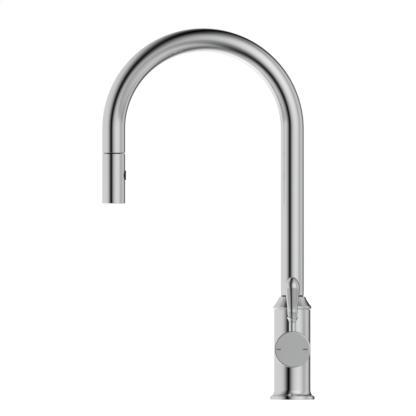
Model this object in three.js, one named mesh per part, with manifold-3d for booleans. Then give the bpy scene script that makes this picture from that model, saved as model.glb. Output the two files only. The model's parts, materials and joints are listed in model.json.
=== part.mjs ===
// Pull-down kitchen faucet with a side lever. Millimetres, +Z up, origin on the deck under the body.
// The spout reaches towards -X and the handle hub faces -Y.
import * as THREE from "three";
import { mergeVertices } from "three/addons/utils/BufferGeometryUtils.js";
import Module from "manifold-3d";

const wasm = await Module();
wasm.setup();

// ---- Driving dimensions ----
const GAP = 0.3; // left between pieces that touch
const BODY_RADIUS = 22.3;
const BODY_BORE = 20.2;
const BODY_TOP = 110.5;
const BODY_FLOOR = 12; // the inner step that the shank's flange pulls down on
const BASE_RADIUS = 27.4;
const LIP_HEIGHT = 4.8;
const COVE_WIDTH = 4.1;
const COVE_TOP = 12;
const GASKET_RADIUS = 24.9;
const GASKET_HEIGHT = 1.2;
const COLLAR_TOP = 126.1;
const COLLAR_BORE = 15.2;
const STEP_BORE = 12.5; // the collar's top lip, which holds the spigot's shoulder down

const TUBE_RADIUS = 14;
const TUBE_BORE = 12.6;
const RISER_FOOT = 127.7;
const ARC_RADIUS = 109.4;
const ARC_CENTRE = 331.4;
const REACH = 2 * ARC_RADIUS;
const SPOUT_END = 302.2;
const HEAD_TOP = 301;
const HEAD_BOTTOM = 240.2;
const HEAD_BORE = 12.5;
const BUTTON_HEIGHT = 274.8;
const BUTTON_RADIUS = 6;
const BUTTON_PROUD = 1.1;
const HOSE_RADIUS = 5.5;
const HOSE_OFFSET = 7.2; // the hose passes behind the valve

const HUB_HEIGHT = 61.9;
const HUB_RADIUS = 22.3;
const HUB_RIM = 41; // distances out from the riser's axis
const HUB_FACE = 58;
const PIVOT_OUT = 26;
const DOME_RADIUS = 24;
const SLEEVE_RADIUS = 19;
const SLEEVE_BORE = 17.2;
const CARTRIDGE_RADIUS = 14;
const STEM_RADIUS = 3.5;
const STEM_ARM = 4.2; // from the pivot in to the ball that moves the disc
const LEVER_OUT = 49.5;
const LEVER_SEAM = 102;
const DISC_OFFSET = -0.8; // half the moving disc's travel, so that it works about the centre
const SET_SCREW_OUT = 53.6;

const DECK_THICKNESS = 30;
const UNDER_DECK = -DECK_THICKNESS;
const JACK_SCREW_OUT = 21.7;
const SHANK_RADIUS = 16.5;
const SHANK_BORE = 14.5;
const SHANK_FOOT = -60;
const PIPE_RADIUS = 4;
const PIPE_FOOT = -80;
const SUPPLY_PIPES = { hot: [-8.5, -5], cold: [8.5, -5], mixed: [0, -10] };
const PORTS = [[-5, 2.5], [5, 2.5], [0, -5]]; // hot, cold and mixed, on the cartridge's own axis

const LARGE = 24; // facets round a piece, by its size
const MEDIUM = 16;
const SMALL = 12;
const FINE = 8;

// ---- Materials ----
const finish = (color, roughness, metalness) =>
  new THREE.MeshStandardMaterial({ color, roughness, metalness });
const CHROME = finish(0xd8dadc, 0.06, 1);
const STEEL = finish(0xa6a9ab, 0.35, 1);
const BRASS = finish(0xb9964f, 0.35, 1);
const COPPER = finish(0xb87350, 0.35, 1);
const BLACK = finish(0x17181a, 0.45, 0);
const GREY = finish(0x6f7376, 0.5, 0);
const RUBBER = finish(0x222222, 0.85, 0);
const CERAMIC = finish(0xe9e6de, 0.3, 0);
const NYLON = finish(0x3a3c3f, 0.6, 0);
const ENAMEL = finish(0x4c4f52, 0.4, 0);

// ---- Solids ----
// A geometry as a closed solid that faces out.
function solid(geometry) {
  const bare = new THREE.BufferGeometry();
  bare.setAttribute("position", geometry.getAttribute("position").clone());
  bare.setIndex(geometry.index);
  const merged = mergeVertices(bare, 1e-4);
  const corners = new Uint32Array(merged.index.array);
  const made = () =>
    new wasm.Manifold(
      new wasm.Mesh({
        numProp: 3,
        vertProperties: merged.getAttribute("position").array,
        triVerts: corners,
      }),
    );
  const first = made();
  if (first.volume() > 0) return first;
  for (let i = 0; i < corners.length; i += 3) {
    [corners[i + 1], corners[i + 2]] = [corners[i + 2], corners[i + 1]];
  }
  return made();
}

function geometryOf(manifold) {
  const { vertProperties, triVerts } = manifold.getMesh();
  const geometry = new THREE.BufferGeometry();
  geometry.setAttribute("position", new THREE.BufferAttribute(vertProperties, 3));
  geometry.setIndex(new THREE.BufferAttribute(triVerts, 1));
  geometry.computeVertexNormals();
  return geometry;
}

function piece(name, shape, material) {
  const mesh = new THREE.Mesh(geometryOf(shape), material);
  mesh.name = name;
  return mesh;
}

// A solid of revolution about Z, from [radius, height] points that close on themselves or on the axis.
function turned(profile, facets) {
  const points = profile.map(([r, z]) => new THREE.Vector2(r, z));
  const onAxis = profile[0][0] === 0 && profile.at(-1)[0] === 0;
  if (!onAxis) points.push(points[0].clone());
  return solid(new THREE.LatheGeometry(points, facets).rotateX(Math.PI / 2));
}

const disc = (r, low, high, facets = MEDIUM) =>
  turned([[0, low], [r, low], [r, high], [0, high]], facets);

const ring = (outer, inner, low, high, facets = MEDIUM) =>
  turned([[inner, low], [outer, low], [outer, high], [inner, high]], facets);

// A round bar along Z, moved to x, y.
const bar = (r, low, high, x, y, facets = FINE) =>
  disc(r, low, high, facets).translate([x, y, 0]);

// A round bar from one x to another, at a height and a y.
function crossBar(r, from, to, y, z, facets = SMALL) {
  const cylinder = new THREE.CylinderGeometry(r, r, to - from, facets);
  cylinder.rotateZ(Math.PI / 2).translate((from + to) / 2, y, z);
  return solid(cylinder);
}

function block(lowX, highX, lowY, highY, lowZ, highZ) {
  const box = new THREE.BoxGeometry(highX - lowX, highY - lowY, highZ - lowZ);
  box.translate((lowX + highX) / 2, (lowY + highY) / 2, (lowZ + highZ) / 2);
  return solid(box);
}

// Points on an elliptical arc about a centre; angles in degrees.
function arc([cx, cz], [rx, rz], from, to, steps) {
  const points = [];
  for (let i = 0; i <= steps; i++) {
    const a = THREE.MathUtils.degToRad(from + ((to - from) * i) / steps);
    points.push([cx + rx * Math.cos(a), cz + rz * Math.sin(a)]);
  }
  return points;
}

// Points on a quadratic curve, for turned shapes that sweep.
function sweep(start, control, end, steps) {
  const curve = new THREE.QuadraticBezierCurve(
    new THREE.Vector2(...start),
    new THREE.Vector2(...control),
    new THREE.Vector2(...end),
  );
  return curve.getPoints(steps).map((p) => [p.x, p.y]);
}

// Points on a smooth curve through hand-set [radius, height] points.
function through(points, steps) {
  const curve = new THREE.SplineCurve(points.map((p) => new THREE.Vector2(...p)));
  return curve.getPoints(steps).map((p) => [p.x, p.y]);
}

// The hub's parts are turned about an axis that points out of the body, towards -Y.
const facingOut = (shape) => shape.rotate([90, 0, 0]).translate([0, 0, HUB_HEIGHT]);

// ---- Spout path ----
// Straight riser, half circle, straight fall, with all but two of the steps in the half circle.
class Gooseneck extends THREE.Curve {
  constructor(foot, outlet, arcSteps) {
    super();
    Object.assign(this, { foot, outlet, arcSteps, steps: arcSteps + 2 });
  }

  getPoint(t, target = new THREE.Vector3()) {
    const { lerp } = THREE.MathUtils;
    const station = t * this.steps;
    if (station <= 1) return target.set(0, 0, lerp(this.foot, ARC_CENTRE, station));
    const past = station - this.arcSteps - 1;
    if (past >= 0) return target.set(-REACH, 0, lerp(ARC_CENTRE, this.outlet, past));
    const a = (Math.PI * (station - 1)) / this.arcSteps;
    const x = ARC_RADIUS * (Math.cos(a) - 1);
    return target.set(x, 0, ARC_CENTRE + ARC_RADIUS * Math.sin(a));
  }

  getUtoTmapping(u) {
    return u;
  }
}

function tubeAlong(path, steps, radius, facets, bore = 0) {
  const section = new THREE.Shape();
  const outline = (target, r) => {
    for (let i = 0; i < facets; i++) {
      const a = (2 * Math.PI * i) / facets;
      if (i === 0) target.moveTo(r, 0);
      else target.lineTo(r * Math.cos(a), r * Math.sin(a));
    }
  };
  outline(section, radius);
  if (bore) {
    const hole = new THREE.Path();
    outline(hole, bore);
    section.holes.push(hole);
  }
  return solid(new THREE.ExtrudeGeometry(section, { steps, extrudePath: path }));
}

// ---- Fixed on the deck ----
function bodyShell() {
  const lipEdge = 0.8;
  const coveCentre = [BODY_RADIUS + COVE_WIDTH, COVE_TOP];
  const recess = GASKET_RADIUS + GAP;
  const shell = turned(
    [
      [recess, 0],
      [BASE_RADIUS, 0],
      ...arc([BASE_RADIUS - lipEdge, LIP_HEIGHT - lipEdge], [lipEdge, lipEdge], 0, 90, 2),
      ...arc(coveCentre, [COVE_WIDTH, COVE_TOP - LIP_HEIGHT], 270, 180, 5),
      [BODY_RADIUS, BODY_TOP - 0.4],
      [BODY_RADIUS - 0.4, BODY_TOP],
      [BODY_BORE, BODY_TOP],
      [BODY_BORE, BODY_FLOOR],
      [SHANK_RADIUS + GAP, BODY_FLOOR],
      [SHANK_RADIUS + GAP, GASKET_HEIGHT + GAP],
      [recess, GASKET_HEIGHT + GAP],
    ],
    LARGE,
  );
  return shell.subtract(facingOut(disc(SLEEVE_RADIUS + GAP, 8, 30, LARGE)));
}

function neckCollar() {
  return turned(
    [
      [19.9, 100.5],
      [19.9, BODY_TOP + GAP],
      [22.6, BODY_TOP + 0.5],
      ...arc([22.2, 112.5], [1.4, 1.5], -50, 30, 3),
      ...sweep([23.1, 114.1], [18.3, 120.3], [16.4, 125.1], 5),
      ...arc([15.5, COLLAR_TOP - 0.7], [0.7, 0.7], 0, 90, 2),
      [STEP_BORE, COLLAR_TOP],
      [STEP_BORE, 125],
      [COLLAR_BORE, 125],
      [COLLAR_BORE, 105],
      [16.6, 105],
      [16.6, 103.2],
      [COLLAR_BORE, 103.2],
      [COLLAR_BORE, 100.5],
    ],
    LARGE,
  );
}

function mountingShank() {
  return turned(
    [
      [SHANK_BORE, SHANK_FOOT],
      [SHANK_RADIUS - 0.8, SHANK_FOOT],
      [SHANK_RADIUS, SHANK_FOOT + 0.8],
      [SHANK_RADIUS, BODY_FLOOR + GAP],
      [19.8, BODY_FLOOR + GAP],
      [19.8, 15],
      [SHANK_BORE, 15],
    ],
    MEDIUM,
  );
}

function lockNut() {
  const nut = ring(26.5, SHANK_RADIUS + GAP, UNDER_DECK - 16.1, UNDER_DECK - 6.1);
  const holes = [-1, 1].map((side) =>
    bar(2.8, UNDER_DECK - 17, UNDER_DECK - 5, side * JACK_SCREW_OUT, 0),
  );
  return nut.subtract(holes[0]).subtract(holes[1]);
}

function jackScrew(side) {
  const shape = turned(
    [
      [0, UNDER_DECK - 26],
      [4, UNDER_DECK - 26],
      [4, UNDER_DECK - 22],
      [2.5, UNDER_DECK - 22],
      [2.5, UNDER_DECK - 6.1],
      [0, UNDER_DECK - 6.1],
    ],
    FINE,
  );
  return shape.translate([side * JACK_SCREW_OUT, 0, 0]);
}

// Three supply sockets from below, the cartridge's socket from the side, and the ports between them.
function valveBody() {
  const slab = block(-30, 30, -13.4, 1, 40, 84);
  const neck = facingOut(disc(16.9, 9, 32.9, LARGE));
  let shape = disc(19.8, 40, 84, LARGE).intersect(slab).add(neck);
  shape = shape.subtract(facingOut(disc(CARTRIDGE_RADIUS + GAP, 9, 34, LARGE)));
  for (const [x, y] of Object.values(SUPPLY_PIPES)) {
    shape = shape.subtract(bar(PIPE_RADIUS + GAP, 39, 46, x, y, SMALL));
  }
  for (const [x, up] of PORTS) {
    shape = shape.subtract(facingOut(bar(2, 4.5, 10, x, up)));
    const top = HUB_HEIGHT + up;
    shape = shape.subtract(bar(1.9, 44, top, x, -5.9));
  }
  return shape;
}

function supplyPipe([x, y]) {
  return ring(PIPE_RADIUS, PIPE_RADIUS - 1, PIPE_FOOT, 45.7, 16).translate([x, y, 0]);
}

function withPorts(shape, low, high, radius) {
  return PORTS.reduce(
    (left, [x, up]) => left.subtract(bar(radius, low - 1, high + 1, x, up)),
    shape,
  );
}

function cartridgeHousing() {
  return facingOut(
    turned(
      [
        [12, 14.3],
        [CARTRIDGE_RADIUS, 14.3],
        [CARTRIDGE_RADIUS, 32.7],
        [9.6, 32.7],
        [9.6, 30.9],
        [12, 30.9],
      ],
      MEDIUM,
    ),
  );
}

// A domed cover about the lever's pivot, with an opening for the stem's whole sweep.
function bonnet() {
  const inner = DOME_RADIUS - 1.6;
  const centre = [0, PIVOT_OUT];
  const dome = turned(
    [
      [15, 37.5],
      [16.9, 37.5],
      [16.9, 40.7],
      ...arc(centre, [DOME_RADIUS, DOME_RADIUS], 37.8, 90, 6),
      ...arc(centre, [inner, inner], 90, 48, 5),
    ],
    LARGE,
  );
  return facingOut(dome.subtract(bar(11.4, 42, 52, 0, -2.2, MEDIUM)));
}

function snapRing() {
  const whole = ring(16.3, 13, 103.5, 104.7);
  return whole.subtract(block(-2, 2, 10, 20, 100, 110));
}

// ---- Hoses ----
const LOWER_HOSE = [
  [0, 165],
  [0.9, 148],
  [3.6, 126.5],
  [6.1, 107],
  [HOSE_OFFSET, 88],
  [HOSE_OFFSET, 40],
  [HOSE_OFFSET, -72],
];

function sprayHoseLower() {
  const points = LOWER_HOSE.map(([y, z]) => new THREE.Vector3(0, y, z));
  return tubeAlong(new THREE.CatmullRomCurve3(points), 20, HOSE_RADIUS, 10);
}

function hoseInletFitting() {
  const fitting = turned(
    [[0, -90], [4, -90], [4, -84], [6.6, -83], [6.6, -73], [6, -72.3], [0, -72.3]],
    SMALL,
  );
  return fitting.translate([0, HOSE_OFFSET, 0]);
}

// ---- Handle ----
function stemRotor() {
  const rotor = disc(11.6, 23.8, 30.6);
  const slot = block(-4.3, 4.3, -6.2, 4.6, 20, 34);
  return facingOut(rotor.subtract(slot).subtract(crossBar(1.5, -9, 9, 0, PIVOT_OUT, FINE)));
}

function discCarrier() {
  const carrier = bar(8.5, 20.1, 22.9, 0, DISC_OFFSET, MEDIUM);
  return facingOut(carrier.subtract(block(-1.9, 1.9, -1.9, 1.9, 19, 25)));
}

function movingDisc() {
  const plate = bar(8.5, 17.3, 19.8, 0, DISC_OFFSET, MEDIUM);
  return facingOut(plate.subtract(bar(4, 16, 18.8, 0, -1.5, SMALL)));
}

function cartridgeStem() {
  const ball = PIVOT_OUT - STEM_ARM;
  const stem = turned(
    [
      ...arc([0, ball], [1.5, 1.5], -90, 50, 5).map(([r, out], i) => [i ? r : 0, out]),
      [1.15, 23.4],
      [STEM_RADIUS, 24.45],
      [STEM_RADIUS, 56.2],
      [0, 56.2],
    ],
    SMALL,
  );
  return facingOut(stem.subtract(crossBar(1.5, -5, 5, 0, PIVOT_OUT, FINE)));
}

const MARKS = { hot: [-16.9, 6.2], cold: [15.5, 7.2] };

// A flat bar with round ends, as [centre, length] along X, in the hub's own frame.
function markBar([centre, length], width, low, high) {
  const half = length / 2 - width / 2;
  const outline = new THREE.Shape();
  outline.absarc(centre + half, 0, width / 2, -Math.PI / 2, Math.PI / 2);
  outline.absarc(centre - half, 0, width / 2, Math.PI / 2, (3 * Math.PI) / 2);
  const options = { depth: high - low, bevelEnabled: false, curveSegments: 6 };
  return solid(new THREE.ExtrudeGeometry(outline, options).translate(0, 0, low));
}

function handleCap() {
  const edge = 1.5;
  let cap = turned(
    [
      [0, HUB_RIM],
      [HUB_RADIUS - 0.4, HUB_RIM],
      [HUB_RADIUS, HUB_RIM + 0.4],
      ...arc([HUB_RADIUS - edge, HUB_FACE - edge], [edge, edge], 0, 90, 3),
      [0, HUB_FACE],
    ],
    LARGE,
  );
  const recess = new THREE.SphereGeometry(DOME_RADIUS + 0.6, 24, 16);
  recess.rotateX(Math.PI / 2).translate(0, 0, PIVOT_OUT);
  cap = cap.subtract(solid(recess));
  cap = cap.subtract(disc(STEM_RADIUS + GAP, 49, 56.5, SMALL));
  const upright = (r, low, high, out) =>
    disc(r, low, high, SMALL).rotate([-90, 0, 0]).translate([0, 0, out]);
  cap = cap.subtract(upright(4.6, 20.6, 25, LEVER_OUT));
  cap = cap.subtract(upright(3.3, 15, 21, LEVER_OUT));
  cap = cap.subtract(upright(2.8, -25, -3, SET_SCREW_OUT));
  for (const mark of Object.values(MARKS)) {
    cap = cap.subtract(markBar([mark[0], mark[1]], 2.4, HUB_FACE - 0.7, HUB_FACE + 1));
  }
  return facingOut(cap);
}

function mark(size) {
  return facingOut(markBar([size[0], size[1] - 0.6], 1.8, HUB_FACE - 0.4, HUB_FACE));
}

function leverNeck() {
  const neck = turned(
    [
      [0, 77.4],
      [3, 77.4],
      [3, 82.8],
      [4.3, 82.8],
      [4.3, 94.4],
      ...sweep([4.3, 94.4], [4.5, 97.4], [6.6, 99.7], 4).slice(1),
      ...arc([6.2, 100.7], [0.7, 0.7], -30, 60, 3),
      [5.6, LEVER_SEAM - 0.3],
      [3, LEVER_SEAM - 0.3],
      [3, 112],
      [0, 112],
    ],
    SMALL,
  );
  return neck.translate([0, -LEVER_OUT, 0]);
}

const GRIP_OUTLINE = [
  [5.6, 102.4],
  [6.2, 106.3],
  [6.4, 111.3],
  [7.1, 121],
  [8.2, 131.3],
  [8.8, 137.8],
  [8.1, 141.5],
  [5.6, 146.2],
  [3, 149.3],
];

function leverGrip() {
  const grip = turned(
    [
      [3.3, LEVER_SEAM],
      [5.3, LEVER_SEAM],
      ...through(GRIP_OUTLINE, 12),
      [1.5, 150],
      [0, 150.3],
      [0, 112.4],
      [3.3, 112.4],
    ],
    MEDIUM,
  );
  return grip.translate([0, -LEVER_OUT, 0]);
}

function setScrew() {
  const screw = disc(2.5, -13, -STEM_RADIUS - GAP, FINE).rotate([-90, 0, 0]);
  return facingOut(screw.translate([0, 0, SET_SCREW_OUT]));
}

// ---- Spout ----
function swivelSpigot() {
  const groove = (z) => [
    [14.8, z],
    [12.7, z],
    [12.7, z + 2.4],
    [14.8, z + 2.4],
  ];
  return turned(
    [
      [11.6, 112],
      [14.8, 112],
      ...groove(114),
      ...groove(119.6),
      [14.8, 124.7],
      [STEP_BORE - 0.4, 124.7],
      [STEP_BORE - 0.4, 150],
      [10.6, 150],
      [10.6, 126],
      [11.6, 124.5],
    ],
    MEDIUM,
  );
}

const oRing = (z) => solid(new THREE.TorusGeometry(13.95, 0.9, 5, MEDIUM).translate(0, 0, z));

// Guides the hose out of the spout; its flange shows in the seam above the spray head.
function dockInsert() {
  return turned(
    [
      [11.3, 301.3],
      [13.2, 301.3],
      [13.2, 301.9],
      [12.1, 301.9],
      [12.1, 328],
      [9.3, 328],
      [9.3, 306.8],
      [11.3, 306.8],
    ],
    MEDIUM,
  );
}

// ---- Spray head, about its own axis ----
function headShell() {
  const shell = turned(
    [
      [HEAD_BORE, HEAD_BOTTOM],
      ...arc([TUBE_RADIUS - 0.6, HEAD_BOTTOM + 0.6], [0.6, 0.6], -90, 0, 2),
      ...arc([TUBE_RADIUS - 0.4, HEAD_TOP - 0.4], [0.4, 0.4], 0, 90, 2),
      [HEAD_BORE, HEAD_TOP],
    ],
    MEDIUM,
  );
  return shell.subtract(crossBar(BUTTON_RADIUS + GAP, 5, 20, 0, BUTTON_HEIGHT, MEDIUM));
}

function headCore() {
  const core = turned(
    [
      [5.5, 252],
      [6.6, 252],
      [6.6, 247],
      [12.2, 247],
      [12.2, 298.1],
      [8.6, 298.1],
      [8.6, 303.7],
      [5.5, 303.7],
    ],
    MEDIUM,
  );
  const pocket = crossBar(8, 6, 20, 0, BUTTON_HEIGHT, MEDIUM);
  const springWell = crossBar(5.2, 1.5, 20, 0, BUTTON_HEIGHT);
  return core.subtract(pocket).subtract(springWell);
}

// As long as it is when the button is fully pressed, since a rigid coil can't shorten.
function buttonSpring() {
  const turns = 3;
  const coil = new THREE.CatmullRomCurve3(
    Array.from({ length: turns * 8 + 1 }, (_, i) => {
      const a = (i * Math.PI) / 4;
      const x = 2.3 + (3.3 * i) / (turns * 8);
      return new THREE.Vector3(x, 4.2 * Math.cos(a), BUTTON_HEIGHT + 4.2 * Math.sin(a));
    }),
  );
  return tubeAlong(coil, turns * 8, 0.4, 5);
}

function sprayButton() {
  const face = TUBE_RADIUS + BUTTON_PROUD;
  const button = turned(
    [
      [0, 8.2],
      [7.5, 8.2],
      [7.5, 9.4],
      [BUTTON_RADIUS, 9.4],
      ...arc([BUTTON_RADIUS - 0.8, face - 0.8], [0.8, 0.8], 0, 90, 2),
      [0, face],
    ],
    MEDIUM,
  );
  return button.rotate([0, 90, 0]).translate([0, 0, BUTTON_HEIGHT]);
}

const sprayHoles = (action) => {
  for (let i = 0; i < 12; i++) {
    const a = (i * Math.PI) / 6;
    action(9.2 * Math.cos(a), 9.2 * Math.sin(a));
  }
};

function sprayFace() {
  let face = ring(12.2, 6.3, 241, 244.2);
  sprayHoles((x, y) => {
    face = face.subtract(bar(1.2, 240, 246, x, y, 6));
  });
  return face;
}

function nozzlePad() {
  let pad = ring(12, 6.3, 244.5, 246.5);
  sprayHoles((x, y) => {
    pad = pad.add(bar(0.75, 240.7, 245, x, y, 6));
  });
  return pad;
}

function aerator() {
  return turned(
    [[0, 242.4], [4.6, 242.4], [5.2, 241], [6, 241], [6, 246.4], [6.2, 246.4], [6.2, 249], [0, 249]],
    SMALL,
  );
}

// ---- Assembly ----
function onDeck() {
  const group = new THREE.Group();
  group.add(
    piece("body_shell", bodyShell(), CHROME),
    piece("neck_collar", neckCollar(), CHROME),
    piece("base_gasket", ring(GASKET_RADIUS, SHANK_RADIUS + GAP, 0, GASKET_HEIGHT), RUBBER),
    piece("mounting_shank", mountingShank(), BRASS),
    piece("deck_washer", ring(27, SHANK_RADIUS + GAP, UNDER_DECK - 3, UNDER_DECK), RUBBER),
    piece("clamp_washer", ring(27.5, SHANK_RADIUS + GAP, UNDER_DECK - 5.8, UNDER_DECK - 3.3), STEEL),
    piece("lock_nut", lockNut(), BRASS),
    piece("jack_screw_left", jackScrew(-1), STEEL),
    piece("jack_screw_right", jackScrew(1), STEEL),
    piece("valve_body", valveBody(), BRASS),
    piece("hot_inlet_pipe", supplyPipe(SUPPLY_PIPES.hot), COPPER),
    piece("cold_inlet_pipe", supplyPipe(SUPPLY_PIPES.cold), COPPER),
    piece("mixed_outlet_pipe", supplyPipe(SUPPLY_PIPES.mixed), COPPER),
    piece("hub_sleeve", facingOut(ring(SLEEVE_RADIUS, SLEEVE_BORE, 14, 40.4, LARGE)), CHROME),
    piece("base_seal", facingOut(withPorts(disc(12, 9.3, 10.7), 9, 11, 2.2)), RUBBER),
    piece("cartridge_base", facingOut(withPorts(disc(13.9, 11, 14), 11, 14, 2)), GREY),
    piece("cartridge_housing", cartridgeHousing(), GREY),
    piece("fixed_disc", facingOut(withPorts(disc(11.6, 14.3, 17), 14, 17, 2)), CERAMIC),
    piece("cartridge_nut", facingOut(ring(16.9, 10, 33.2, 37.2)), BRASS),
    piece("bonnet", bonnet(), CHROME),
    piece("swivel_bearing", ring(14.9, 12.3, 105, 111.7), GREY),
    piece("snap_ring", snapRing(), STEEL),
    piece("spray_hose_lower", sprayHoseLower(), NYLON),
    piece("hose_inlet_fitting", hoseInletFitting(), BRASS),
  );
  return group;
}

function handle() {
  const group = new THREE.Group();
  group.add(
    piece("stem_rotor", stemRotor(), BLACK),
    piece("pivot_pin", facingOut(crossBar(1.2, -8.6, 8.6, 0, PIVOT_OUT, FINE)), STEEL),
    piece("disc_carrier", discCarrier(), BLACK),
    piece("moving_disc", movingDisc(), CERAMIC),
    piece("cartridge_stem", cartridgeStem(), BRASS),
    piece("handle_cap", handleCap(), CHROME),
    piece("handle_set_screw", setScrew(), STEEL),
    piece("lever_neck", leverNeck(), CHROME),
    piece("lever_grip", leverGrip(), CHROME),
    piece("hot_mark", mark(MARKS.hot), ENAMEL),
    piece("cold_mark", mark(MARKS.cold), ENAMEL),
  );
  return group;
}

function spout() {
  const group = new THREE.Group();
  const arcSteps = 24;
  const tubePath = new Gooseneck(RISER_FOOT, SPOUT_END, arcSteps);
  const hosePath = new Gooseneck(165.4, ARC_CENTRE - 0.4, arcSteps);
  const tube = tubeAlong(tubePath, tubePath.steps, TUBE_RADIUS, MEDIUM, TUBE_BORE);
  const atOutlet = (shape) => shape.translate([-REACH, 0, 0]);
  group.add(
    piece("swivel_spigot", swivelSpigot(), BRASS),
    piece("o_ring_lower", oRing(115.2), RUBBER),
    piece("o_ring_upper", oRing(120.8), RUBBER),
    piece("slip_ring", ring(13.5, STEP_BORE, COLLAR_TOP + GAP, RISER_FOOT - GAP), BLACK),
    piece("spout_tube", tube, CHROME),
    piece("spray_hose_upper", tubeAlong(hosePath, hosePath.steps, HOSE_RADIUS, 8), NYLON),
    piece("dock_insert", atOutlet(dockInsert()), BLACK),
    piece("magnet_ring", atOutlet(ring(11, 9.3, 302.2, 306.5, SMALL)), STEEL),
  );
  return group;
}

function sprayHead() {
  const group = new THREE.Group();
  group.position.x = -REACH;
  group.add(
    piece("hose_nut", disc(8.6, 304, 316, 6), BRASS),
    piece("hose_tail", disc(HOSE_RADIUS, 316.3, ARC_CENTRE - 0.8, 10), NYLON),
    piece("head_shell", headShell(), CHROME),
    piece("head_core", headCore(), GREY),
    piece("strike_ring", ring(12.2, 8.9, 298.4, 300.9), STEEL),
    piece("check_valve", disc(5.1, 288, 299, FINE), GREY),
    piece("spray_face", sprayFace(), GREY),
    piece("nozzle_pad", nozzlePad(), RUBBER),
    piece("aerator", aerator(), GREY),
    piece("button_spring", buttonSpring(), STEEL),
    piece("spray_button", sprayButton(), BLACK),
    piece("diverter_spool", crossBar(3, -2, 7.9, 0, BUTTON_HEIGHT, FINE), GREY),
  );
  return group;
}

const faucet = new THREE.Group();
faucet.add(onDeck(), handle(), spout(), sprayHead());

export default faucet;
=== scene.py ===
"""Looks of a pull-down kitchen faucet: polished chrome surfaces worked out with numpy, over the CAD frame.

Lengths are in millimetres until a mesh is made, and every piece lies at its own place in the CAD frame.
"""
import json
import math

import bpy
import numpy as np
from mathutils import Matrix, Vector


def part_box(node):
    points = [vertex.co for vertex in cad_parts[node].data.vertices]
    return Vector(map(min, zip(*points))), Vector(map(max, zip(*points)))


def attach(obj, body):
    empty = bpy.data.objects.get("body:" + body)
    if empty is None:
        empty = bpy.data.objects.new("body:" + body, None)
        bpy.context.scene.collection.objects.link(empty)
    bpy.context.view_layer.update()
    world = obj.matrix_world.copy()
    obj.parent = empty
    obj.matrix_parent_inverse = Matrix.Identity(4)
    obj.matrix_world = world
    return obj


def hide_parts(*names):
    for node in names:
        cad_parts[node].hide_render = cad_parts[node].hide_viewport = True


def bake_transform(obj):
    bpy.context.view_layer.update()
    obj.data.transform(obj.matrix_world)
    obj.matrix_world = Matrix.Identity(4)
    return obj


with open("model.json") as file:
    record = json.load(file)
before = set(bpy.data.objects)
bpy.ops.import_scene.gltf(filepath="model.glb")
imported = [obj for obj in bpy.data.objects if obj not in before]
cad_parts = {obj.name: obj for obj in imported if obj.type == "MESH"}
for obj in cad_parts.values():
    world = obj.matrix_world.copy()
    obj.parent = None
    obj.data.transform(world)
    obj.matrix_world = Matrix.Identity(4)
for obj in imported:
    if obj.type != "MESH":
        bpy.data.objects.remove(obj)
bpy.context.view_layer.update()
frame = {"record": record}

MM = 0.001

# ---------------------------------------------------------------- places, read from the frame


def span(node):
    """The lowest and highest corners of a CAD node, in millimetres."""
    low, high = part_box(node)
    return np.array(low) / MM, np.array(high) / MM


TUBE_LOW, TUBE_HIGH = span("spout_tube")
TUBE_R = TUBE_HIGH[0]
ARC_R = (-TUBE_LOW[0] - TUBE_R) / 2
REACH = 2 * ARC_R
RISER_FOOT = TUBE_LOW[2]
ARC_Z = TUBE_HIGH[2] - ARC_R - TUBE_R
TUBE_BORE = TUBE_R - 1.6
HEAD_LOW, HEAD_HIGH = span("head_shell")
HEAD_BOTTOM, HEAD_TOP = HEAD_LOW[2], HEAD_HIGH[2]
SPOUT_END = HEAD_TOP + 1.2
BASE_R, _, BODY_TOP = span("body_shell")[1]
COLLAR_TOP = span("neck_collar")[1][2]
CAP_LOW, CAP_HIGH = span("handle_cap")
HUB_Z = (CAP_LOW[2] + CAP_HIGH[2]) / 2
HUB_R = (CAP_HIGH[0] - CAP_LOW[0]) / 2
HUB_FACE, HUB_RIM = -CAP_LOW[1], -CAP_HIGH[1]
GRIP_LOW, GRIP_HIGH = span("lever_grip")
LEVER_OUT = -(GRIP_LOW[1] + GRIP_HIGH[1]) / 2
GRIP_TOP = GRIP_HIGH[2]
BUTTON_LOW, BUTTON_HIGH = span("spray_button")
BUTTON_Z = (BUTTON_LOW[2] + BUTTON_HIGH[2]) / 2
BUTTON_FACE = BUTTON_HIGH[0] + REACH

BODY_R = 22.3
BASE_BORE = 16.8  # of the body's foot and of every ring under it
BUTTON_R = 6.0
PIVOT_OUT = 26.0  # the handle's ball centre, from the riser's axis
DOME_R = 24.0
SLEEVE_R = 19.0
HOSE_R = 5.5
DOCK_SHOULDER = 306.8  # where the dock's bush narrows to hold the magnet
CHROME_SHARE = 0.885  # the light that the chrome gives back

# ---------------------------------------------------------------- outlines


def rounded(corners, steps=8, closed=True, edge=0.05):
    """Straight runs joined by round corners.

    A corner is (radius from the axis, height, rounding). Its arc touches both runs: the centre lies on the
    corner's bisector at rounding / sin(half the angle), and the arc turns evenly between the two touching
    points. A support point just beyond each end keeps the long runs flat when they are shaded smooth.
    """
    count = len(corners)
    points = []
    for i, corner in enumerate(corners):
        here = np.array(corner[:2], float)
        radius = corner[2] if len(corner) > 2 else 0.0
        inner = closed or 0 < i < count - 1
        if not radius or not inner:
            points.append(here[None])
            continue
        back = np.array(corners[i - 1][:2]) - here
        ahead = np.array(corners[(i + 1) % count][:2]) - here
        back, ahead = back / np.hypot(*back), ahead / np.hypot(*ahead)
        half = math.acos(np.clip(back @ ahead, -1, 1)) / 2
        reach = radius / math.tan(half)
        bisector = (back + ahead) / np.hypot(*(back + ahead))
        centre = here + bisector * radius / math.sin(half)
        start, end = here + back * reach - centre, here + ahead * reach - centre
        turn = math.pi - 2 * half
        t = np.linspace(0, 1, steps + 1)[:, None]
        arc = centre + (np.sin((1 - t) * turn) * start + np.sin(t * turn) * end) / math.sin(turn)
        support = min(edge, 0.4 * reach)
        points += [(arc[0] + back * support)[None], arc, (arc[-1] + ahead * support)[None]]
    return np.concatenate(points)


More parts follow.
